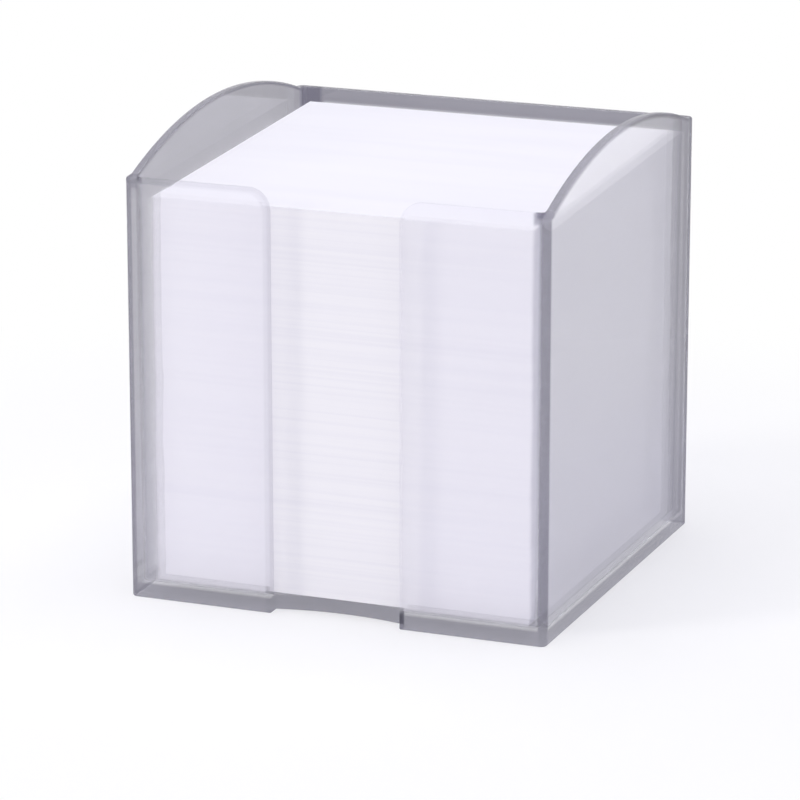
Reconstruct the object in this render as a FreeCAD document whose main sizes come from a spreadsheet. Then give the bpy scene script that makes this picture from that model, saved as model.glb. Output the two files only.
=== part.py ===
import FreeCAD, Part
import math
import os
from Sketcher import Constraint

# A clear moulded note box and the stack of loose square sheets that it holds.
# Millimetres, +Z up, origin at the middle of the underside, front with the finger slot at -Y.

# Driving dimensions: word, value, what it sets
DRIVING = [
    ("sheet_width", 90.0, "side of a square note sheet"),
    ("sheet_thickness", 0.108, "one sheet"),
    ("sheet_pitch", 0.1115, "one sheet with the air under it, at the front"),
    ("fill_level", 92.7, "height of the top sheet's front edge above the table"),
    ("back_swell", 4.0, "how much higher the loose stack stands at the back wall"),
    ("sheet_clearance", 2.6, "gap from the stack to each wall at the base"),
    ("wall", 2.4, "wall thickness at the base"),
    ("draft", 0.25, "lean of the inner faces, degrees"),
    ("base_thickness", 3.5, "floor of the box"),
    ("front_height", 97.5, "top of the two front leaves"),
    ("back_rise", 2.0, "top of the back wall above the front leaves"),
    ("crown_rise", 9.5, "highest point of the arched side walls above the front leaves"),
    ("rim_blend", 5.0, "radius where the arch runs out into the level rims"),
    ("rim_bevel", 0.35, "easing of the rim's edges"),
    ("outer_corner", 1.5, "radius of the four upright corners outside"),
    ("inner_corner", 1.0, "radius of the four upright corners inside"),
    ("floor_fillet", 1.0, "radius where the walls meet the floor"),
    ("foot_bevel", 0.5, "easing round the underside"),
    ("slot_width", 31.0, "finger slot between the front leaves"),
    ("leaf_corner", 5.0, "radius of the leaves' top corners at the slot"),
    ("notch_side", 3.5, "depth of the floor's notch at the slot's sides"),
    ("notch_middle", 5.5, "depth of the floor's notch at mid slot"),
    ("wander", 0.08, "slow drift of the stack out of true"),
    ("handful_shift", 0.10, "step between handfuls that were put in together"),
    ("sheet_shift", 0.05, "scatter of single sheets"),
    ("twist", 0.06, "turn of a handful out of square, degrees"),
]

# Counts of the stack: packs of sheets, sheets put in together, waves of the drift over its height
PACKS = 20
HANDFUL = 14
WAVES_ACROSS = 2.3
WAVES_DEEP = 3.9
GOLDEN = (math.sqrt(5) - 1) / 2

# How far cutting shapes run past what they cut
OVERRUN = 5.0
TOLERANCE = 1e-4

# Sizes that follow from the driving ones
OUTER = "(dims.sheet_width + 2 * dims.sheet_clearance + 2 * dims.wall)"
INNER = "(dims.sheet_width + 2 * dims.sheet_clearance)"
BACK_HEIGHT = "(dims.front_height + dims.back_rise)"
CROWN_HEIGHT = "(dims.front_height + dims.crown_rise)"


def make_sheet(doc):
    """Put the driving dimensions into a spreadsheet, one alias each."""
    sheet = doc.addObject("Spreadsheet::Sheet", "dims")
    for row, (word, value, note) in enumerate(DRIVING, start=1):
        sheet.set(f"A{row}", note)
        sheet.set(f"B{row}", str(value))
        sheet.setAlias(f"B{row}", word)
    doc.recompute()
    return sheet


def origin_plane(body, role):
    """The plane of the body's own origin with this role."""
    return next(plane for plane in body.Origin.OriginFeatures if plane.Role == role)


def new_sketch(body, role, name):
    """An empty sketch on one of the body's origin planes."""
    sketch = body.newObject("Sketcher::SketchObject", name)
    sketch.AttachmentSupport = [(origin_plane(body, role), "")]
    sketch.MapMode = "FlatFace"
    return sketch


def point(x, y):
    """A point of a sketch."""
    return FreeCAD.Vector(x, y, 0)


def bind(sketch, constraint, name, expression):
    """Add a dimension to a sketch and tie it to the spreadsheet."""
    index = sketch.addConstraint(Constraint(*constraint))
    sketch.renameConstraint(index, name)
    sketch.setExpression(f"Constraints.{name}", expression)


def closed_outline(sketch, corners):
    """Straight lines round the corners, joined end to end."""
    ends = corners[1:] + corners[:1]
    lines = [sketch.addGeometry(Part.LineSegment(a, b)) for a, b in zip(corners, ends)]
    for line, following in zip(lines, lines[1:] + lines[:1]):
        sketch.addConstraint(Constraint("Coincident", line, 2, following, 1))
    return lines


def centred_square(sketch, expression, guess):
    """A square about the sketch's origin with its side tied to an expression."""
    half = guess / 2
    lines = closed_outline(sketch, [point(-half, -half), point(half, -half),
                                    point(half, half), point(-half, half)])
    for line, kind in zip(lines, ["Horizontal", "Vertical", "Horizontal", "Vertical"]):
        sketch.addConstraint(Constraint(kind, line))
    sketch.addConstraint(Constraint("Symmetric", lines[0], 1, lines[2], 1, -1, 1))
    bind(sketch, ("DistanceX", lines[0], 1, lines[0], 2, guess), "side_x", expression)
    bind(sketch, ("DistanceY", lines[1], 1, lines[1], 2, guess), "side_y", expression)


def edge_names(shape, wanted):
    """Names of the edges that a test picks."""
    return [f"Edge{i}" for i, edge in enumerate(shape.Edges, start=1) if wanted(edge)]


def upright(edge, low):
    """Whether an edge climbs straight from this height or lower to near the top."""
    box = edge.BoundBox
    return box.ZMin < low + TOLERANCE and box.ZLength > 10 * max(box.XLength, box.YLength)


def level(edge, height):
    """Whether an edge lies at this height."""
    box = edge.BoundBox
    return abs(box.ZMin - height) < TOLERANCE and abs(box.ZMax - height) < TOLERANCE


def faces_up(face):
    """Whether a face's middle looks upwards."""
    u_low, u_high, v_low, v_high = face.ParameterRange
    return face.normalAt((u_low + u_high) / 2, (v_low + v_high) / 2).z > 0.5


def dress_edges(body, kind, name, wanted, size, expression):
    """Fillet or chamfer the edges of the body's last shape that a test picks."""
    body.Document.recompute()
    tip = body.Tip
    names = edge_names(tip.Shape, wanted)
    dressing = body.newObject(kind, name)
    dressing.Base = (tip, names)
    dressing.setExpression(size, expression)
    body.Document.recompute()


def round_edges(body, name, wanted, expression):
    """Fillet picked edges."""
    dress_edges(body, "PartDesign::Fillet", name, wanted, "Radius", expression)


def bevel_edges(body, name, wanted, expression):
    """Chamfer picked edges."""
    dress_edges(body, "PartDesign::Chamfer", name, wanted, "Size", expression)


def cut(body, sketch, name, **settings):
    """Pocket a sketch and make sure that it takes material away."""
    body.Document.recompute()
    before = body.Tip.Shape.Volume
    pocket = body.newObject("PartDesign::Pocket", name)
    pocket.Profile = sketch
    for setting, value in settings.items():
        setattr(pocket, setting, value)
    body.Document.recompute()
    if pocket.Shape.isNull() or pocket.Shape.Volume > before - TOLERANCE:
        raise RuntimeError(f"{name} cuts nothing")
    return pocket


def lean_walls(body, dims):
    """Lean the inner walls outwards from the floor, so that the moulding leaves its core."""
    hollow = body.Tip
    inside = {f"Face{i}": face.BoundBox for i, face in enumerate(hollow.Shape.Faces, start=1)
              if abs(face.BoundBox.ZMin - dims.base_thickness) < TOLERANCE}
    floor = [name for name, box in inside.items() if box.ZLength < TOLERANCE]
    walls = [name for name in inside if name not in floor]
    lean = body.newObject("PartDesign::Draft", "lean")
    lean.Base = (hollow, walls)
    lean.NeutralPlane = (hollow, floor)
    lean.setExpression("Angle", "dims.draft")
    body.Document.recompute()


def rim_outline(sketch, dims):
    """The space above the rim seen from the side: level ends, blends and one arch."""
    half = dims.sheet_width / 2 + dims.sheet_clearance + dims.wall
    front = dims.front_height
    back = front + dims.back_rise
    crown = front + dims.crown_rise
    run_out = half - dims.wall
    rise = crown - (front + back) / 2
    radius = (run_out ** 2 + rise ** 2) / (2 * rise)
    lean = math.asin(run_out / radius)
    past = half + OVERRUN
    top = crown + OVERRUN
    blend = dims.rim_blend
    up = FreeCAD.Vector(0, 0, 1)

    front_flat = sketch.addGeometry(Part.LineSegment(point(-past, front), point(-run_out, front)))
    front_blend = sketch.addGeometry(Part.ArcOfCircle(
        Part.Circle(point(-run_out, front + blend), up, blend), -math.pi / 2, -math.pi / 2 + lean))
    arch = sketch.addGeometry(Part.ArcOfCircle(
        Part.Circle(point(0, crown - radius), up, radius), math.pi / 2 - lean, math.pi / 2 + lean))
    back_blend = sketch.addGeometry(Part.ArcOfCircle(
        Part.Circle(point(run_out, back + blend), up, blend), -math.pi / 2 - lean, -math.pi / 2))
    back_flat = sketch.addGeometry(Part.LineSegment(point(run_out, back), point(past, back)))
    back_end = sketch.addGeometry(Part.LineSegment(point(past, back), point(past, top)))
    lid = sketch.addGeometry(Part.LineSegment(point(past, top), point(-past, top)))
    front_end = sketch.addGeometry(Part.LineSegment(point(-past, top), point(-past, front)))
    crown_line = sketch.addGeometry(Part.LineSegment(point(-past, crown), point(past, crown)), True)

    # Ends of an arc count anticlockwise, so the arch starts at its back end
    for meeting in [(front_flat, 2, front_blend, 1), (front_blend, 2, arch, 2),
                    (arch, 1, back_blend, 1), (back_blend, 2, back_flat, 1)]:
        sketch.addConstraint(Constraint("Tangent", *meeting))
    for first, second in [(back_flat, back_end), (back_end, lid),
                          (lid, front_end), (front_end, front_flat)]:
        sketch.addConstraint(Constraint("Coincident", first, 2, second, 1))
    for line in (front_flat, back_flat):
        sketch.addConstraint(Constraint("Horizontal", line))
    for line in (back_end, front_end):
        sketch.addConstraint(Constraint("Vertical", line))
    sketch.addConstraint(Constraint("Tangent", arch, crown_line))
    sketch.addConstraint(Constraint("Symmetric", lid, 1, lid, 2, -2))
    sketch.addConstraint(Constraint("Symmetric", crown_line, 1, crown_line, 2, -2))
    bind(sketch, ("DistanceY", -1, 1, front_flat, 2, front), "front", "dims.front_height")
    bind(sketch, ("DistanceY", -1, 1, back_flat, 1, back), "back", BACK_HEIGHT)
    bind(sketch, ("DistanceY", -1, 1, crown_line, 1, crown), "crown", CROWN_HEIGHT)
    bind(sketch, ("DistanceX", front_flat, 2, -1, 1, run_out), "front_run_out", f"{INNER} / 2")
    bind(sketch, ("DistanceX", -1, 1, back_flat, 1, run_out), "back_run_out", f"{INNER} / 2")
    bind(sketch, ("Radius", front_blend, blend), "front_blend", "dims.rim_blend")
    bind(sketch, ("Radius", back_blend, blend), "back_blend", "dims.rim_blend")
    bind(sketch, ("DistanceX", lid, 2, lid, 1, 2 * past), "lid", f"{OUTER} + {2 * OVERRUN}")
    bind(sketch, ("DistanceX", crown_line, 1, crown_line, 2, 2 * past), "crown_run", f"{OUTER}")
    bind(sketch, ("DistanceY", -1, 1, lid, 1, top), "lid_height", f"{CROWN_HEIGHT} + {OVERRUN}")


def slot_outline(sketch, dims):
    """The finger slot seen from the front, flared by the leaves' rounded corners."""
    half = dims.slot_width / 2
    floor, front, round_ = dims.base_thickness, dims.front_height, dims.leaf_corner
    top = front + OVERRUN
    shoulder = front - round_
    flare = half + round_
    out = FreeCAD.Vector(0, 0, 1)

    foot = sketch.addGeometry(Part.LineSegment(point(-half, floor), point(half, floor)))
    right = sketch.addGeometry(Part.LineSegment(point(half, floor), point(half, shoulder)))
    right_round = sketch.addGeometry(Part.ArcOfCircle(
        Part.Circle(point(flare, shoulder), out, round_), math.pi / 2, math.pi))
    right_top = sketch.addGeometry(Part.LineSegment(point(flare, front), point(flare, top)))
    lid = sketch.addGeometry(Part.LineSegment(point(flare, top), point(-flare, top)))
    left_top = sketch.addGeometry(Part.LineSegment(point(-flare, top), point(-flare, front)))
    left_round = sketch.addGeometry(Part.ArcOfCircle(
        Part.Circle(point(-flare, shoulder), out, round_), 0, math.pi / 2))
    left = sketch.addGeometry(Part.LineSegment(point(-half, shoulder), point(-half, floor)))

    for first, second in [(foot, right), (right_top, lid), (lid, left_top), (left, foot)]:
        sketch.addConstraint(Constraint("Coincident", first, 2, second, 1))
    sketch.addConstraint(Constraint("Tangent", right, 2, right_round, 2))
    sketch.addConstraint(Constraint("Tangent", left_round, 1, left, 1))
    sketch.addConstraint(Constraint("Horizontal", lid))
    for line in (right, right_top, left_top, left):
        sketch.addConstraint(Constraint("Vertical", line))
    sketch.addConstraint(Constraint("Perpendicular", right_round, 1, right_top, 1))
    sketch.addConstraint(Constraint("Perpendicular", left_round, 2, left_top, 2))
    sketch.addConstraint(Constraint("Symmetric", foot, 1, foot, 2, -2))
    bind(sketch, ("DistanceX", foot, 1, foot, 2, 2 * half), "width", "dims.slot_width")
    bind(sketch, ("DistanceY", -1, 1, foot, 1, floor), "foot_height", "dims.base_thickness")
    bind(sketch, ("Radius", right_round, round_), "right_round", "dims.leaf_corner")
    bind(sketch, ("Radius", left_round, round_), "left_round", "dims.leaf_corner")
    bind(sketch, ("DistanceY", -1, 1, right_top, 1, front), "right_height", "dims.front_height")
    bind(sketch, ("DistanceY", -1, 1, left_top, 2, front), "left_height", "dims.front_height")
    bind(sketch, ("DistanceY", -1, 1, lid, 1, top), "lid_height", f"dims.front_height + {OVERRUN}")


def notch_outline(sketch, dims):
    """The notch in the floor under the slot, seen from above, with a hollow back edge."""
    half = dims.slot_width / 2
    face = -(dims.sheet_width / 2 + dims.sheet_clearance + dims.wall)
    side, middle = face + dims.notch_side, face + dims.notch_middle
    past = face - OVERRUN

    front = sketch.addGeometry(Part.LineSegment(point(-half, past), point(half, past)))
    right = sketch.addGeometry(Part.LineSegment(point(half, past), point(half, side)))
    hollow = sketch.addGeometry(Part.Arc(point(half, side), point(0, middle), point(-half, side)))
    left = sketch.addGeometry(Part.LineSegment(point(-half, side), point(-half, past)))
    back_line = sketch.addGeometry(Part.LineSegment(point(-half, middle), point(half, middle)), True)

    for meeting in [(front, 2, right, 1), (right, 2, hollow, 1),
                    (hollow, 2, left, 1), (left, 2, front, 1)]:
        sketch.addConstraint(Constraint("Coincident", *meeting))
    sketch.addConstraint(Constraint("Symmetric", front, 1, front, 2, -2))
    sketch.addConstraint(Constraint("Symmetric", hollow, 1, hollow, 2, -2))
    sketch.addConstraint(Constraint("Symmetric", back_line, 1, back_line, 2, -2))
    sketch.addConstraint(Constraint("Tangent", hollow, back_line))
    bind(sketch, ("DistanceX", front, 1, front, 2, 2 * half), "width", "dims.slot_width")
    bind(sketch, ("DistanceX", hollow, 2, hollow, 1, 2 * half), "hollow_width", "dims.slot_width")
    bind(sketch, ("DistanceX", back_line, 1, back_line, 2, 2 * half), "back_run", "dims.slot_width")
    bind(sketch, ("DistanceY", front, 1, -1, 1, -past), "front_face", f"{OUTER} / 2 + {OVERRUN}")
    bind(sketch, ("DistanceY", hollow, 1, -1, 1, -side), "side_depth", f"{OUTER} / 2 - dims.notch_side")
    bind(sketch, ("DistanceY", back_line, 1, -1, 1, -middle), "middle_depth",
         f"{OUTER} / 2 - dims.notch_middle")


def make_note_box(doc, dims):
    """The clear moulding: base, back, arched sides and two front leaves in one piece."""
    body = doc.addObject("PartDesign::Body", "note_box")
    inner = dims.sheet_width + 2 * dims.sheet_clearance
    outer = inner + 2 * dims.wall

    footprint = new_sketch(body, "XY_Plane", "footprint")
    centred_square(footprint, OUTER, outer)
    block = body.newObject("PartDesign::Pad", "block")
    block.Profile = footprint
    block.setExpression("Length", CROWN_HEIGHT)
    round_edges(body, "outer_corners", lambda edge: upright(edge, 0), "dims.outer_corner")
    bevel_edges(body, "foot", lambda edge: level(edge, 0), "dims.foot_bevel")

    cavity = new_sketch(body, "XY_Plane", "cavity")
    centred_square(cavity, INNER, inner)
    cavity.setExpression("AttachmentOffset.Base.z", "dims.base_thickness")
    cut(body, cavity, "hollow", Type="ThroughAll", Reversed=True)
    lean_walls(body, dims)
    round_edges(body, "inner_corners", lambda edge: upright(edge, dims.base_thickness)
                and edge.BoundBox.ZMin > dims.base_thickness / 2, "dims.inner_corner")
    round_edges(body, "floor", lambda edge: level(edge, dims.base_thickness), "dims.floor_fillet")

    rim = new_sketch(body, "YZ_Plane", "rim")
    rim_outline(rim, dims)
    cut(body, rim, "arch", Type="ThroughAll", SideType="Symmetric")

    def rim_edge(edge):
        if edge.BoundBox.ZMin < dims.front_height - TOLERANCE:
            return False
        kinds = [faces_up(face) for face in body.Tip.Shape.ancestorsOfType(edge, Part.Face)]
        return any(kinds) and not all(kinds)

    bevel_edges(body, "rim_edges", rim_edge, "dims.rim_bevel")

    slot = new_sketch(body, "XZ_Plane", "slot")
    slot_outline(slot, dims)
    finger_slot = cut(body, slot, "finger_slot", Reversed=True, Length=outer / 2)
    finger_slot.setExpression("Length", f"{OUTER} / 2")

    notch = new_sketch(body, "XY_Plane", "notch")
    notch_outline(notch, dims)
    cut(body, notch, "floor_notch", Type="ThroughAll", Reversed=True)
    return body


def scatter(number, spread):
    """A shift between minus and plus half the spread that looks irregular but is always the same."""
    return spread * ((number * GOLDEN) % 1 - 0.5)


def sheet_placement(dims, index, count):
    """Where a sheet lies in the stack, a little out of true as loose sheets are."""
    handful = index // HANDFUL
    share = index / count
    phase = 2 * math.pi * share
    x = dims.wander * math.sin(WAVES_ACROSS * phase)
    y = dims.wander * math.cos(WAVES_DEEP * phase)
    x += scatter(3 * handful, dims.handful_shift) + scatter(index, dims.sheet_shift)
    y += scatter(5 * handful + 2, dims.handful_shift) + scatter(2 * index + 1, dims.sheet_shift)
    slope = share * dims.back_swell / dims.sheet_width
    height = dims.base_thickness + index * dims.sheet_pitch + y * slope
    middle = FreeCAD.Vector(x, y, height + slope * dims.sheet_width / 2)
    corner = FreeCAD.Vector(-dims.sheet_width / 2, -dims.sheet_width / 2, 0)
    turn = FreeCAD.Rotation(FreeCAD.Vector(0, 0, 1), scatter(7 * handful + 4, dims.twist))
    tilt = FreeCAD.Rotation(FreeCAD.Vector(1, 0, 0), math.degrees(math.atan(slope)))
    lie = tilt.multiply(turn)
    return FreeCAD.Placement(middle + lie.multVec(corner), lie)


def make_blank(doc):
    """One square sheet, from which the stack is laid."""
    blank = doc.addObject("Part::Box", "sheet_blank")
    blank.setExpression("Length", "dims.sheet_width")
    blank.setExpression("Width", "dims.sheet_width")
    blank.setExpression("Height", "dims.sheet_thickness")
    doc.recompute()
    return blank


def make_pack(doc, dims, blank, number, indices, count):
    """Some of the stack's sheets, each its own solid lying on the one below."""
    sheets = []
    for index in indices:
        sheet = blank.Shape.copy()
        sheet.Placement = sheet_placement(dims, index, count)
        sheets.append(sheet)
    pack = doc.addObject("Part::Feature", f"note_pack_{number:02d}")
    pack.Shape = Part.makeCompound(sheets)
    return pack


def make_top_sheet(doc, count):
    """The sheet that is taken next, squared up on the stack."""
    top = doc.addObject("Part::Box", "top_sheet")
    top.Placement = FreeCAD.Placement(FreeCAD.Vector(), FreeCAD.Rotation(FreeCAD.Vector(1, 0, 0), 1))
    slope = f"dims.back_swell * {count - 1} / {count} / dims.sheet_width"
    top.setExpression("Placement.Rotation.Angle", f"atan({slope})")
    top.setExpression("Length", "dims.sheet_width")
    top.setExpression("Width", "dims.sheet_width")
    top.setExpression("Height", "dims.sheet_thickness")
    top.setExpression("Placement.Base.x", "-dims.sheet_width / 2")
    top.setExpression("Placement.Base.y", "-dims.sheet_width / 2")
    top.setExpression("Placement.Base.z", f"dims.base_thickness + {count - 1} * dims.sheet_pitch")
    return top


def make_stack(doc, dims):
    """The loose sheets: packs of them from the floor up, and the top sheet."""
    count = round((dims.fill_level - dims.base_thickness) / dims.sheet_pitch)
    per_pack = math.ceil((count - 1) / PACKS)
    blank = make_blank(doc)
    packs = []
    for number in range(1, PACKS + 1):
        indices = range((number - 1) * per_pack, min(number * per_pack, count - 1))
        packs.append(make_pack(doc, dims, blank, number, indices, count))
    return packs + [make_top_sheet(doc, count)]


def check(doc, pieces):
    """Stop if an object failed or a piece has no sound shape."""
    for item in doc.Objects:
        if "Invalid" in item.State or "Error" in item.State:
            raise RuntimeError(f"{item.Label} failed: {item.State}")
    for piece in pieces:
        if piece.Shape.isNull() or not piece.Shape.isValid():
            raise RuntimeError(f"{piece.Label} has no sound shape")


def main():
    os.makedirs("parts", exist_ok=True)
    doc = FreeCAD.newDocument("memo_box")
    dims = make_sheet(doc)
    pieces = [make_note_box(doc, dims)] + make_stack(doc, dims)
    doc.recompute()
    check(doc, pieces)
    for piece in pieces:
        piece.Shape.exportStep(f"parts/{piece.Label}.step")
        print(piece.Label, len(piece.Shape.Solids), "solids", round(piece.Shape.Volume, 1), "mm3")


main()
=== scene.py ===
import bmesh
import bpy
import math
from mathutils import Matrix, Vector


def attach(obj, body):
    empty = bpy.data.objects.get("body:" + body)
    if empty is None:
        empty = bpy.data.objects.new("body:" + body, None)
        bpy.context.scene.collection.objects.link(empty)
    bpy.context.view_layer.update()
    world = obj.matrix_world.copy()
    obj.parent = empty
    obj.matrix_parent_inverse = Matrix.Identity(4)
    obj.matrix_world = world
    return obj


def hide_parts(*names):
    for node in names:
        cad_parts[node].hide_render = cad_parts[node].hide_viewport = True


# A clear moulded note box on a white table, filled with loose square sheets.
# Metres, +Z up, the front with the finger slot at -Y.

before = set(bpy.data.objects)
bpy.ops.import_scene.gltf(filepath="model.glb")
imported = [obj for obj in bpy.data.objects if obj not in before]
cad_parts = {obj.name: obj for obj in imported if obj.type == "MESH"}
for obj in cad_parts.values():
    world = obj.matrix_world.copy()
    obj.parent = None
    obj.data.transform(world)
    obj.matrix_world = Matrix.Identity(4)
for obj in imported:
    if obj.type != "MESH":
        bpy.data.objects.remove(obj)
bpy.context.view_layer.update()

MM = 0.001

# Sizes of the moulding in millimetres, as the solid has them
HALF = 50.0
WALL = 2.4
FLOOR = 3.5
LEAN = math.tan(math.radians(0.25))
FRONT_TOP = 97.5
BACK_TOP = 99.5
CROWN = 107.0
RUN_OUT = 47.6
BLEND = 5.0
OUTER_CORNER = 1.5
INNER_CORNER = 1.0
SLOT = 15.5
LEAF_CORNER = 5.0
NOTCH_SIDE = 3.5
NOTCH_MIDDLE = 5.5

# Rounded edges of the moulding in millimetres; the bevel takes each as a share of the first
FULL_ROUND = 1.0
FLOOR_ROUND = 0.9
FOOT_ROUND = 0.5
RIM_ROUND = 0.4
SLOT_ROUND = 0.35
NOTCH_ROUND = 0.15
ROUND_SEGMENTS = 3

# Places along the walls in millimetres, and steps along their curves
LEAF_PLAIN = 28.0
SIDE_END = 46.2
BACK_PLACES = (-25.0, 0.0, 25.0)
CORNER_STEPS = 8
LEAF_STEPS = 10
BLEND_STEPS = 5
ARCH_STEPS = 36
NOTCH_STEPS = 14

# Painted shade on the clear plastic: the millimetres over which each place sets in, and how dark its
# painted shade gets
CORNER_ZONE, CORNER_PAINTED_SHADE = (47.7, 48.5), 0.82
FOOT_ZONE, FOOT_PAINTED_SHADE = (3.2, 4.4), 0.77
WALL_ZONE = (46.0, 47.0)
BACK_END_ZONE, BACK_END_PAINTED_SHADE = (42.6, 44.0), 0.87
BACK_RIM_ZONE, BACK_RIM_PAINTED_SHADE = (95.0, 96.5), 0.74
ARCH_ZONE, ARCH_PAINTED_SHADE = (-1.7, -0.5), 0.77
SIDE_END_ZONE, SIDE_END_PAINTED_SHADE = (36.5, 40.5), 0.45
OVER_SHEETS_ZONE = (91.0, 93.0)
FRONT_END_ZONE = (34.5, 38.5)
LEFT_PAINTED_SHADE = 0.53
SIDE_PAINTED_SHADE = 0.08
SLOT_ZONE, SLOT_PAINTED_SHADE = (3.5, 4.1), 0.11
SHEETS_SLOPE = 0.044

# Plastic
# The panel tints are the plastic's own faint tint; the edge tints are the dark colour of the painted shade
# along its edges
PANEL_TINTS = [(0.35, (0.965, 0.962, 0.985)), (0.65, (0.98, 0.978, 0.995))]
EDGE_PAINTED_SHADE_TINTS = [(0.35, (0.065, 0.058, 0.115)), (0.65, (0.085, 0.077, 0.14))]
PLASTIC_IOR = 1.57
PLASTIC_ROUGHNESS = (0.0, 0.05)
UNBENT_SHARE = 0.4
SLOT_UNBENT_SHARE = 0.54
CAST_SHARE = 0.3
SLOT_CAST_SHARE = 0.42
SMOKE_COLOUR = (0.50, 0.50, 0.56, 1.0)
SMOKE_DENSITY = 4.0

# Paper
PAPER_TINTS = [(0.30, (0.875, 0.865, 0.92)), (0.50, (0.905, 0.895, 0.942)), (0.70, (0.92, 0.91, 0.95))]
PAPER_SPECULAR = 0.25
PAPER_ROUGHNESS = (0.75, 0.95)

# Noise of the materials: scale, stretch along the axes, detail and roughness
FLOW = (18.0, (1.0, 1.0, 0.35), 2.0, 0.5)
WEAR = (160.0, (1.0, 1.0, 1.0), 4.0, 0.5)
LAYERS = (60.0, (0.12, 0.12, 22.0), 3.0, 0.6)
FIBRES = (900.0, (1.0, 1.0, 1.0), 6.0, 0.65)

# Bumps of the materials: strength, and depth in metres
FLOW_BUMP = (0.02, 0.0005)
FIBRE_BUMP = (0.12, 0.0001)

# Table: what is seen near the box, where it fades to white in millimetres, and what it sends back
TABLE_COLOUR = (0.56, 0.56, 0.57, 1.0)
TABLE_LIFT = 0.43
TABLE_FADE = (100.0, 240.0)
TABLE_BOUNCE = (0.90, 0.90, 0.92, 1.0)
TABLE_RADIUS = 3.0
TABLE_SIDES = 96

# Light: world, then lamps with name, place, aim, size, power and colour
AMBIENT_COLOUR = (0.86, 0.855, 1.0, 1.0)
AMBIENT_STRENGTH = 0.40
WHITE = (1.0, 1.0, 1.0, 1.0)
WARM_LAMP = (1.0, 0.985, 0.90)
PLAIN_LAMP = (1.0, 1.0, 1.0)
LAMPS = [
    ("key", (-1.10, -0.93, 0.45), (0, 0, 0.04), 0.3, 7.4, WARM_LAMP),
    ("fill", (0.42, -1.38, 0.20), (0, 0, 0.04), 0.7, 3.6, WARM_LAMP),
    ("top", (0.0, 0.05, 1.28), (0, 0, 0.05), 1.2, 10.7, PLAIN_LAMP),
]

# Camera: direction in degrees, distance in metres, and its shift from the box's middle in millimetres
CAMERA_AZIMUTH = 21.596
CAMERA_ELEVATION = 15.605
CAMERA_DISTANCE = 1.01754
CAMERA_MIDDLE = 50.0
CAMERA_LEFT = 3.745
CAMERA_DOWN = 11.13
CAMERA_SENSOR = 36.0
CAMERA_LENS = 198.72
CAMERA_CLIP = (0.05, 20.0)


def arch_circle():
    """Middle and radius of the side walls' arch, tangent to the crown and to both blends."""
    front_reach = 2 * (CROWN - FRONT_TOP)
    front_rest = (CROWN - FRONT_TOP) * (2 * BLEND - (CROWN - FRONT_TOP))
    back_reach = 2 * (CROWN - BACK_TOP)
    back_rest = (CROWN - BACK_TOP) * (2 * BLEND - (CROWN - BACK_TOP))
    # (middle + run)^2 = front_reach R + front_rest and (run - middle)^2 = back_reach R + back_rest
    per_middle = 4 * RUN_OUT / (front_reach - back_reach)
    offset = (back_rest - front_rest) / (front_reach - back_reach)
    b = 2 * RUN_OUT - front_reach * per_middle
    c = RUN_OUT ** 2 - front_reach * offset - front_rest
    middle = (-b - math.sqrt(b * b - 4 * c)) / 2
    return middle, per_middle * middle + offset


ARCH_MIDDLE, ARCH_RADIUS = arch_circle()


def blend_end(flat_y):
    """Depth at which the blend from a level end meets the arch."""
    share = BLEND / (BLEND + ARCH_RADIUS)
    return flat_y + share * (ARCH_MIDDLE - flat_y)


FRONT_BLEND_END = blend_end(-RUN_OUT)
BACK_BLEND_END = blend_end(RUN_OUT)


def rim_height(y):
    """Height of the rim at a depth: level ends, hollow blends and one arch."""
    if y <= -RUN_OUT:
        return FRONT_TOP
    if y >= RUN_OUT:
        return BACK_TOP
    if y < FRONT_BLEND_END:
        return FRONT_TOP + BLEND - math.sqrt(BLEND ** 2 - (y + RUN_OUT) ** 2)
    if y > BACK_BLEND_END:
        return BACK_TOP + BLEND - math.sqrt(BLEND ** 2 - (y - RUN_OUT) ** 2)
    return CROWN - ARCH_RADIUS + math.sqrt(ARCH_RADIUS ** 2 - (y - ARCH_MIDDLE) ** 2)


def leaf_height(x):
    """Height of a front leaf, rounded off towards the slot."""
    inward = SLOT + LEAF_CORNER - abs(x)
    if inward <= 0:
        return FRONT_TOP
    return FRONT_TOP - LEAF_CORNER + math.sqrt(max(0.0, LEAF_CORNER ** 2 - inward ** 2))


def spread(low, high, steps):
    """Evenly spaced values from low to high, both ends included."""
    return [low + (high - low) * i / steps for i in range(steps + 1)]


def stations():
    """Places along the wall from the slot's left side round the back to its right side."""
    quarter = spread(0, math.pi / 2, CORNER_STEPS)
    leaf = [SLOT + LEAF_CORNER * (1 - math.cos(a)) for a in spread(0, math.pi / 2, LEAF_STEPS)]
    leaf += [LEAF_PLAIN]
    depths = spread(-SIDE_END, FRONT_BLEND_END, BLEND_STEPS)
    depths += spread(FRONT_BLEND_END, BACK_BLEND_END, ARCH_STEPS)[1:-1]
    depths += spread(BACK_BLEND_END, SIDE_END, BLEND_STEPS)
    places = [("front", -x) for x in leaf]
    places += [("corner", -1, -1, 1.5 * math.pi - a) for a in quarter]
    places += [("side", -1, y) for y in depths]
    places += [("corner", -1, 1, math.pi - a) for a in quarter]
    places += [("back", x) for x in BACK_PLACES]
    places += [("corner", 1, 1, 0.5 * math.pi - a) for a in quarter]
    places += [("side", 1, y) for y in reversed(depths)]
    places += [("corner", 1, -1, -a) for a in quarter]
    places += [("front", x) for x in reversed(leaf)]
    return places


def place_xy(place, half, corner):
    """A station's point on a square of this half width and corner radius."""
    kind = place[0]
    if kind == "front":
        return place[1], -half
    if kind == "back":
        return place[1], half
    if kind == "side":
        return place[1] * half, place[2]
    _, side, end, angle = place
    middle = half - corner
    return side * middle + corner * math.cos(angle), end * middle + corner * math.sin(angle)


def top_at(place, x, y):
    """Height of the rim at a station's point."""
    if place[0] == "front":
        return leaf_height(x)
    return rim_height(y)


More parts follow.
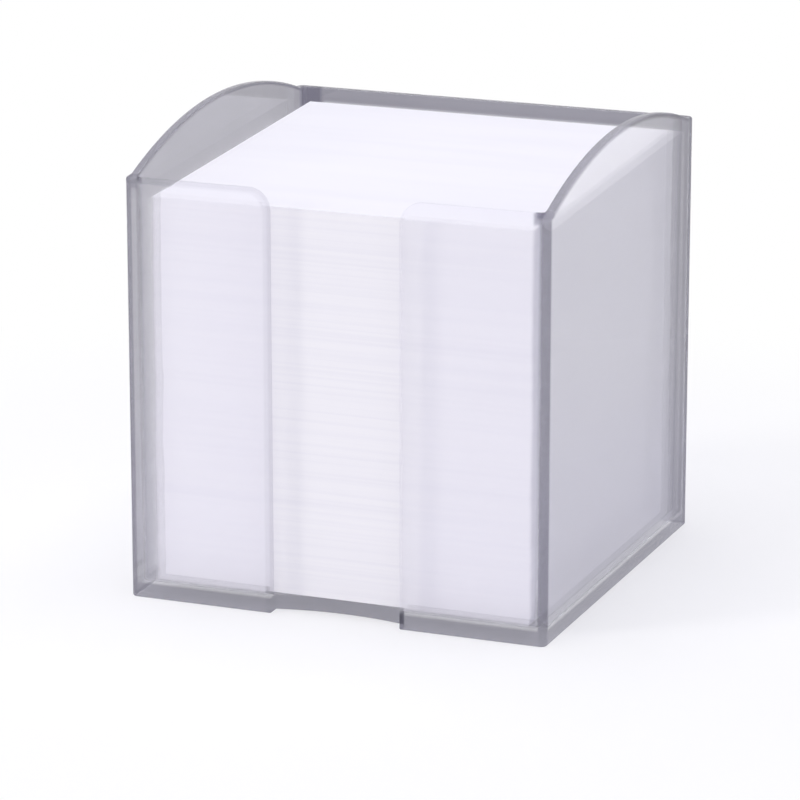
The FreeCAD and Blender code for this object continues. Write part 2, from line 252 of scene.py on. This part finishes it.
def inner_top(place):
    """A station's point on the inner edge of the rim, where the wall leans out."""
    half = HALF - WALL
    x, y = place_xy(place, half, INNER_CORNER)
    half += LEAN * (top_at(place, x, y) - FLOOR)
    x, y = place_xy(place, half, INNER_CORNER)
    return x, y, top_at(place, x, y)


def notch_arc():
    """Points of the finger notch in the base's front, from right to left."""
    side = -HALF + NOTCH_SIDE
    middle = -HALF + NOTCH_MIDDLE
    rise = middle - side
    radius = (SLOT ** 2 + rise ** 2) / (2 * rise)
    swing = math.asin(SLOT / radius)
    return [(radius * math.sin(a), middle - radius + radius * math.cos(a))
            for a in spread(swing, -swing, NOTCH_STEPS)]


def shell_mesh():
    """The moulding as one closed mesh, with its edges weighted for rounding."""
    bm = bmesh.new()
    weight = bm.edges.layers.float.new("bevel_weight_edge")

    def vert(x, y, z):
        return bm.verts.new((x * MM, y * MM, z * MM))

    places = stations()
    last = len(places) - 1
    # Under the leaves' round corners the walls are plain, so only the slot's edge reaches the foot there
    footed = [0, *range(LEAF_STEPS, last - LEAF_STEPS + 1), last]
    outer_foot, outer_rim, inner_rim, inner_foot = [], [], [], []
    for index, place in enumerate(places):
        x, y = place_xy(place, HALF, OUTER_CORNER)
        outer_rim.append(vert(x, y, top_at(place, x, y)))
        inner_rim.append(vert(*inner_top(place)))
        if index in footed:
            outer_foot.append(vert(x, y, 0.0))
            x, y = place_xy(place, HALF - WALL, INNER_CORNER)
            inner_foot.append(vert(x, y, FLOOR))
    arc = notch_arc()
    notch_low = [vert(x, y, 0.0) for x, y in arc]
    notch_high = [vert(x, y, FLOOR) for x, y in arc]

    for foot, rim in [(outer_foot, outer_rim), (inner_foot, inner_rim)]:
        for i, (start, end) in enumerate(zip(footed, footed[1:])):
            bm.faces.new([foot[i], foot[i + 1], *reversed(rim[start:end + 1])])
    for low, high in [(outer_rim, inner_rim), (notch_low, notch_high)]:
        for i in range(len(low) - 1):
            bm.faces.new((low[i], low[i + 1], high[i + 1], high[i]))
    bm.faces.new(outer_foot + notch_low)
    bm.faces.new(inner_foot + notch_high)
    # The leaves' end faces at the slot
    for end, far in [(0, -1), (-1, 0)]:
        bm.faces.new((outer_foot[end], outer_rim[end], inner_rim[end], inner_foot[end],
                      notch_high[far], notch_low[far]))
    bmesh.ops.recalc_face_normals(bm, faces=bm.faces)

    def weigh(chain, rounding):
        for a, b in zip(chain, chain[1:]):
            edge = bm.edges.get((a, b))
            edge[weight] = rounding / FULL_ROUND

    weigh(inner_foot, FLOOR_ROUND)
    weigh(outer_foot, FOOT_ROUND)
    for chain in [outer_rim, inner_rim, notch_low, notch_high]:
        weigh(chain, RIM_ROUND)
    for end, far in [(0, -1), (-1, 0)]:
        weigh([outer_foot[end], outer_rim[end]], SLOT_ROUND)
        weigh([inner_foot[end], inner_rim[end]], SLOT_ROUND)
        weigh([outer_foot[end], notch_low[far]], SLOT_ROUND)
        weigh([notch_low[far], notch_high[far]], NOTCH_ROUND)
        weigh([notch_high[far], inner_foot[end]], SLOT_ROUND)
    mesh = bpy.data.meshes.new("note_box_shell")
    bm.to_mesh(mesh)
    bm.free()
    return mesh


def make_shell():
    """The clear moulding with softly rounded edges."""
    shell = bpy.data.objects.new("note_box_shell", shell_mesh())
    bpy.context.scene.collection.objects.link(shell)
    shell.data.shade_smooth()
    bevel = shell.modifiers.new("rounded_edges", "BEVEL")
    bevel.limit_method = "WEIGHT"
    bevel.width = FULL_ROUND * MM
    bevel.segments = ROUND_SEGMENTS
    bevel.use_clamp_overlap = False
    bevel.miter_outer = "MITER_ARC"
    normals = shell.modifiers.new("flat_walls", "WEIGHTED_NORMAL")
    normals.mode = "FACE_AREA"
    normals.weight = 100
    normals.keep_sharp = False
    return shell


def new_material(name):
    """An empty node material with its output."""
    material = bpy.data.materials.new(name)
    material.use_nodes = True
    tree = material.node_tree
    tree.nodes.clear()
    output = tree.nodes.new("ShaderNodeOutputMaterial")
    return material, tree, output


def link(tree, source, source_name, target, target_name):
    """Join an output to an input by their names."""
    tree.links.new(source.outputs[source_name], target.inputs[target_name])


def mapped_noise(tree, settings):
    """Noise in the object's own space, stretched along its axes."""
    scale, stretch, detail, roughness = settings
    coordinates = tree.nodes.new("ShaderNodeTexCoord")
    mapping = tree.nodes.new("ShaderNodeMapping")
    mapping.inputs["Scale"].default_value = stretch
    noise = tree.nodes.new("ShaderNodeTexNoise")
    noise.inputs["Scale"].default_value = scale
    noise.inputs["Detail"].default_value = detail
    noise.inputs["Roughness"].default_value = roughness
    link(tree, coordinates, "Object", mapping, "Vector")
    link(tree, mapping, "Vector", noise, "Vector")
    return noise


def ramp(tree, source, stops):
    """A colour ramp over a noise: (place, colour) pairs."""
    node = tree.nodes.new("ShaderNodeValToRGB")
    while len(node.color_ramp.elements) < len(stops):
        node.color_ramp.elements.new(0.5)
    for element, (place, colour) in zip(node.color_ramp.elements, stops):
        element.position = place
        element.color = (*colour, 1.0)
    link(tree, source, "Fac", node, "Fac")
    return node


def roughness_from(tree, noise, limits, shader):
    """Bring a noise to a range and give it to a shader as its roughness."""
    node = tree.nodes.new("ShaderNodeMapRange")
    node.inputs["To Min"].default_value = limits[0]
    node.inputs["To Max"].default_value = limits[1]
    link(tree, noise, "Fac", node, "Value")
    link(tree, node, "Result", shader, "Roughness")


def bump_from(tree, noise, settings, shader):
    """Give a noise to a shader as its bump."""
    bump = tree.nodes.new("ShaderNodeBump")
    bump.inputs["Strength"].default_value = settings[0]
    bump.inputs["Distance"].default_value = settings[1]
    link(tree, noise, "Fac", bump, "Height")
    link(tree, bump, "Normal", shader, "Normal")


def mixed_colour(tree, share, first, second):
    """A colour between two ramps, by a share from a socket."""
    node = tree.nodes.new("ShaderNodeMixRGB")
    tree.links.new(share, node.inputs["Fac"])
    link(tree, first, "Color", node, "Color1")
    link(tree, second, "Color", node, "Color2")
    return node


def mixed_shader(tree, share, first, second):
    """A shader between two outputs, by a share from a socket."""
    node = tree.nodes.new("ShaderNodeMixShader")
    tree.links.new(share, node.inputs["Fac"])
    tree.links.new(first, node.inputs[1])
    tree.links.new(second, node.inputs[2])
    return node


def number(tree, operation, first, second=0.0):
    """A Math node over sockets or plain numbers; returns its output."""
    node = tree.nodes.new("ShaderNodeMath")
    node.operation = operation
    for place, value in enumerate((first, second)):
        if isinstance(value, bpy.types.NodeSocket):
            tree.links.new(value, node.inputs[place])
        else:
            node.inputs[place].default_value = value
    return node.outputs["Value"]


def times(tree, first, second):
    """The product of two sockets or numbers."""
    return number(tree, "MULTIPLY", first, second)


def larger(tree, first, second):
    """The larger of two sockets or numbers."""
    return number(tree, "MAXIMUM", first, second)


def length_of(tree, first, second):
    """The length of two sides at a right angle."""
    squares = number(tree, "ADD", times(tree, first, first), times(tree, second, second))
    return number(tree, "SQRT", squares)


def step_in(tree, value, zone):
    """0 before a zone in millimetres and 1 after it, with a smooth rise, for a socket in metres."""
    node = tree.nodes.new("ShaderNodeMapRange")
    node.interpolation_type = "SMOOTHSTEP"
    node.inputs["From Min"].default_value = zone[0] * MM
    node.inputs["From Max"].default_value = zone[1] * MM
    tree.links.new(value, node.inputs["Value"])
    return node.outputs["Result"]


def arch_reach(tree, depth, height):
    """How far a point lies outside the side walls' arch, negative below the rim."""
    along = number(tree, "SUBTRACT", depth, ARCH_MIDDLE * MM)
    rise = number(tree, "SUBTRACT", height, (CROWN - ARCH_RADIUS) * MM)
    return number(tree, "SUBTRACT", length_of(tree, along, rise), ARCH_RADIUS * MM)


def leaf_reach(tree, across, height):
    """How far a point of a front leaf lies from its corner's middle towards the slot and the top."""
    inward = number(tree, "SUBTRACT", (SLOT + LEAF_CORNER) * MM, across)
    upward = number(tree, "SUBTRACT", height, (FRONT_TOP - LEAF_CORNER) * MM)
    return length_of(tree, larger(tree, inward, 0.0), larger(tree, upward, 0.0))


def edge_shade(tree):
    """How much painted shade the plastic takes at a point, and the band along the front leaves' slot edge
    and top.

    Painted shade lies on its upright corners, foot, back rim, arches and the rear ends of its walls,
    faintly over the side walls and the left leaf's slot edge, and on the left wall also over the part
    above the sheets and the front end.
    """
    coordinates = tree.nodes.new("ShaderNodeTexCoord")
    split = tree.nodes.new("ShaderNodeSeparateXYZ")
    link(tree, coordinates, "Object", split, "Vector")
    sideways = split.outputs["X"]
    depth = split.outputs["Y"]
    height = split.outputs["Z"]
    leftward = times(tree, sideways, -1.0)
    forward = times(tree, depth, -1.0)
    across = number(tree, "ABSOLUTE", sideways)
    along = number(tree, "ABSOLUTE", depth)
    at_back = step_in(tree, depth, WALL_ZONE)
    at_side = step_in(tree, across, WALL_ZONE)
    at_left = step_in(tree, leftward, WALL_ZONE)
    at_front = step_in(tree, forward, WALL_ZONE)

    corner = step_in(tree, number(tree, "MINIMUM", across, along), CORNER_ZONE)
    foot = number(tree, "SUBTRACT", 1.0, step_in(tree, height, FOOT_ZONE))
    back_ends = times(tree, at_back, step_in(tree, across, BACK_END_ZONE))
    back_rim = times(tree, at_back, step_in(tree, height, BACK_RIM_ZONE))
    arch = times(tree, at_side, step_in(tree, arch_reach(tree, depth, height), ARCH_ZONE))
    side_ends = times(tree, at_side, step_in(tree, depth, SIDE_END_ZONE))
    level = number(tree, "ADD", height, times(tree, depth, -SHEETS_SLOPE))
    over_sheets = step_in(tree, level, OVER_SHEETS_ZONE)
    front_end = step_in(tree, forward, FRONT_END_ZONE)
    left = times(tree, at_left, larger(tree, over_sheets, front_end))
    slot = times(tree, at_front, step_in(tree, leaf_reach(tree, across, height), SLOT_ZONE))
    slot_left = times(tree, slot, number(tree, "LESS_THAN", sideways, 0.0))

    # Each place takes its painted shade; where they overlap, the darkest one counts
    shade = times(tree, corner, CORNER_PAINTED_SHADE)
    for part, tint_and_painted_shade in [(foot, FOOT_PAINTED_SHADE), (back_ends, BACK_END_PAINTED_SHADE), (back_rim, BACK_RIM_PAINTED_SHADE),
                        (arch, ARCH_PAINTED_SHADE), (left, LEFT_PAINTED_SHADE), (side_ends, SIDE_END_PAINTED_SHADE),
                        (at_side, SIDE_PAINTED_SHADE), (slot_left, SLOT_PAINTED_SHADE)]:
        shade = larger(tree, shade, times(tree, part, tint_and_painted_shade))
    return shade, slot


def plastic_material():
    """Clear polystyrene: glossy, darkened along its edges by painted shade, with the faint flow of the
    moulding.
    """
    material, tree, output = new_material("clear_plastic")
    shade, slot = edge_shade(tree)
    flow = mapped_noise(tree, FLOW)
    panel = ramp(tree, flow, PANEL_TINTS)
    # The edge ramp is the dark colour of the painted shade; the panel ramp is the plastic's own faint tint
    edge = ramp(tree, flow, EDGE_PAINTED_SHADE_TINTS)
    glass = tree.nodes.new("ShaderNodeBsdfPrincipled")
    glass.inputs["Transmission Weight"].default_value = 1.0
    glass.inputs["IOR"].default_value = PLASTIC_IOR
    link(tree, mixed_colour(tree, shade, panel, edge), "Color", glass, "Base Color")
    roughness_from(tree, mapped_noise(tree, WEAR), PLASTIC_ROUGHNESS, glass)
    bump_from(tree, flow, FLOW_BUMP, glass)

    # Light for the shadows and the paper passes unbent and takes only a share of the painted shade, a
    # larger one at the slot's edges, so that these cast shadow lines onto the sheets
    path = tree.nodes.new("ShaderNodeLightPath")
    unbent = larger(tree, path.outputs["Is Shadow Ray"], path.outputs["Is Diffuse Ray"])
    seen_painted_shade = times(tree, shade, number(tree, "SUBTRACT", 1.0, unbent))
    cast_painted_shade = larger(tree, times(tree, shade, CAST_SHARE), times(tree, slot, SLOT_CAST_SHARE))
    painted_shade_mix = number(tree, "ADD", seen_painted_shade, times(tree, cast_painted_shade, unbent))
    # A wall has two faces, so each one takes the root of the wall's colour
    per_face = tree.nodes.new("ShaderNodeGamma")
    per_face.inputs["Gamma"].default_value = 0.5
    link(tree, mixed_colour(tree, painted_shade_mix, panel, edge), "Color", per_face, "Color")
    through = tree.nodes.new("ShaderNodeBsdfTransparent")
    link(tree, per_face, "Color", through, "Color")

    # Of what is seen through the plastic, a share passes unbent too, and nearly all at the slot's edges
    seen_unbent = number(tree, "ADD", times(tree, slot, SLOT_UNBENT_SHARE), UNBENT_SHARE)
    share = larger(tree, unbent, seen_unbent)
    surface = mixed_shader(tree, share, glass.outputs["BSDF"], through.outputs["BSDF"])
    link(tree, surface, "Shader", output, "Surface")

    tint_and_painted_shade = tree.nodes.new("ShaderNodeVolumeAbsorption")
    tint_and_painted_shade.inputs["Color"].default_value = SMOKE_COLOUR
    tint_and_painted_shade.inputs["Density"].default_value = SMOKE_DENSITY
    link(tree, tint_and_painted_shade, "Volume", output, "Volume")
    return material


def paper_material():
    """Uncoated white paper: fibres on the faces, slightly uneven layers on the cut edges."""
    material, tree, output = new_material("note_paper")
    paper = tree.nodes.new("ShaderNodeBsdfPrincipled")
    paper.inputs["Specular IOR Level"].default_value = PAPER_SPECULAR
    tone = ramp(tree, mapped_noise(tree, LAYERS), PAPER_TINTS)
    link(tree, tone, "Color", paper, "Base Color")
    fibres = mapped_noise(tree, FIBRES)
    roughness_from(tree, fibres, PAPER_ROUGHNESS, paper)
    bump_from(tree, fibres, FIBRE_BUMP, paper)
    link(tree, paper, "BSDF", output, "Surface")
    return material


def seen_directly(tree):
    """1 where the camera looks at a thing itself, in a gloss or through the plastic."""
    path = tree.nodes.new("ShaderNodeLightPath")
    plain = larger(tree, path.outputs["Is Camera Ray"], path.outputs["Is Glossy Ray"])
    return larger(tree, plain, path.outputs["Is Transmission Ray"])


def table_material():
    """White table that keeps the soft shadow and runs out to plain white."""
    material, tree, output = new_material("white_table")
    surface = tree.nodes.new("ShaderNodeBsdfDiffuse")
    surface.inputs["Color"].default_value = TABLE_COLOUR
    lift = tree.nodes.new("ShaderNodeEmission")
    lift.inputs["Strength"].default_value = TABLE_LIFT
    near = tree.nodes.new("ShaderNodeAddShader")
    tree.links.new(surface.outputs["BSDF"], near.inputs[0])
    tree.links.new(lift.outputs["Emission"], near.inputs[1])
    white = tree.nodes.new("ShaderNodeEmission")
    coordinates = tree.nodes.new("ShaderNodeTexCoord")
    distance = tree.nodes.new("ShaderNodeVectorMath")
    distance.operation = "LENGTH"
    link(tree, coordinates, "Object", distance, "Vector")
    far = step_in(tree, distance.outputs["Value"], TABLE_FADE)
    shown = mixed_shader(tree, far, near.outputs["Shader"], white.outputs["Emission"])
    bounce = tree.nodes.new("ShaderNodeBsdfDiffuse")
    bounce.inputs["Color"].default_value = TABLE_BOUNCE
    choice = mixed_shader(tree, seen_directly(tree), bounce.outputs["BSDF"], shown.outputs["Shader"])
    link(tree, choice, "Shader", output, "Surface")
    return material


def make_table():
    """A wide round table top under the box."""
    bm = bmesh.new()
    bmesh.ops.create_circle(bm, cap_ends=True, segments=TABLE_SIDES, radius=TABLE_RADIUS)
    mesh = bpy.data.meshes.new("table")
    bm.to_mesh(mesh)
    bm.free()
    table = bpy.data.objects.new("table", mesh)
    bpy.context.scene.collection.objects.link(table)
    table.data.materials.append(table_material())


def make_world():
    """Even light from all round, shown as white."""
    world = bpy.data.worlds.new("studio")
    bpy.context.scene.world = world
    world.use_nodes = True
    tree = world.node_tree
    tree.nodes.clear()
    output = tree.nodes.new("ShaderNodeOutputWorld")
    light = tree.nodes.new("ShaderNodeBackground")
    light.inputs["Color"].default_value = AMBIENT_COLOUR
    light.inputs["Strength"].default_value = AMBIENT_STRENGTH
    white = tree.nodes.new("ShaderNodeBackground")
    white.inputs["Color"].default_value = WHITE
    white.inputs["Strength"].default_value = 1.0
    sky = mixed_shader(tree, seen_directly(tree), light.outputs["Background"], white.outputs["Background"])
    link(tree, sky, "Shader", output, "Surface")


def area_lamp(name, place, aim, size, power, colour):
    """A square softbox that looks at a point."""
    data = bpy.data.lights.new(name, "AREA")
    data.shape = "SQUARE"
    data.color = colour
    data.size = size
    data.energy = power
    lamp = bpy.data.objects.new(name, data)
    lamp.location = place
    lamp.rotation_mode = "QUATERNION"
    lamp.rotation_quaternion = (Vector(aim) - Vector(place)).to_track_quat("-Z", "Y")
    bpy.context.scene.collection.objects.link(lamp)


def make_camera():
    """The photograph's view, from the front right and a little above."""
    azimuth = math.radians(CAMERA_AZIMUTH)
    elevation = math.radians(CAMERA_ELEVATION)
    back = Vector((math.sin(azimuth) * math.cos(elevation), -math.cos(azimuth) * math.cos(elevation),
                   math.sin(elevation)))
    right = Vector((math.cos(azimuth), math.sin(azimuth), 0.0))
    up = back.cross(right)
    data = bpy.data.cameras.new("camera")
    data.sensor_width = CAMERA_SENSOR
    data.lens = CAMERA_LENS
    data.clip_start, data.clip_end = CAMERA_CLIP
    camera = bpy.data.objects.new("camera", data)
    middle = Vector((0, 0, CAMERA_MIDDLE * MM))
    camera.location = middle + back * CAMERA_DISTANCE - right * CAMERA_LEFT * MM - up * CAMERA_DOWN * MM
    camera.rotation_mode = "QUATERNION"
    camera.rotation_quaternion = (-back).to_track_quat("-Z", "Y")
    bpy.context.scene.collection.objects.link(camera)
    bpy.context.scene.camera = camera


def dress_sheets():
    """Give the shown sheets their paper."""
    paper = paper_material()
    for name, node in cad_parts.items():
        if name == "note_box":
            continue
        node.data.materials.clear()
        node.data.materials.append(paper)


def main():
    """Dress the box and its sheets, and set the table, the light and the camera."""
    shell = make_shell()
    shell.data.materials.append(plastic_material())
    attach(shell, "box")
    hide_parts("note_box")
    dress_sheets()
    make_table()
    make_world()
    for lamp in LAMPS:
        area_lamp(*lamp)
    make_camera()
    bpy.context.scene.view_settings.view_transform = "Standard"


main()
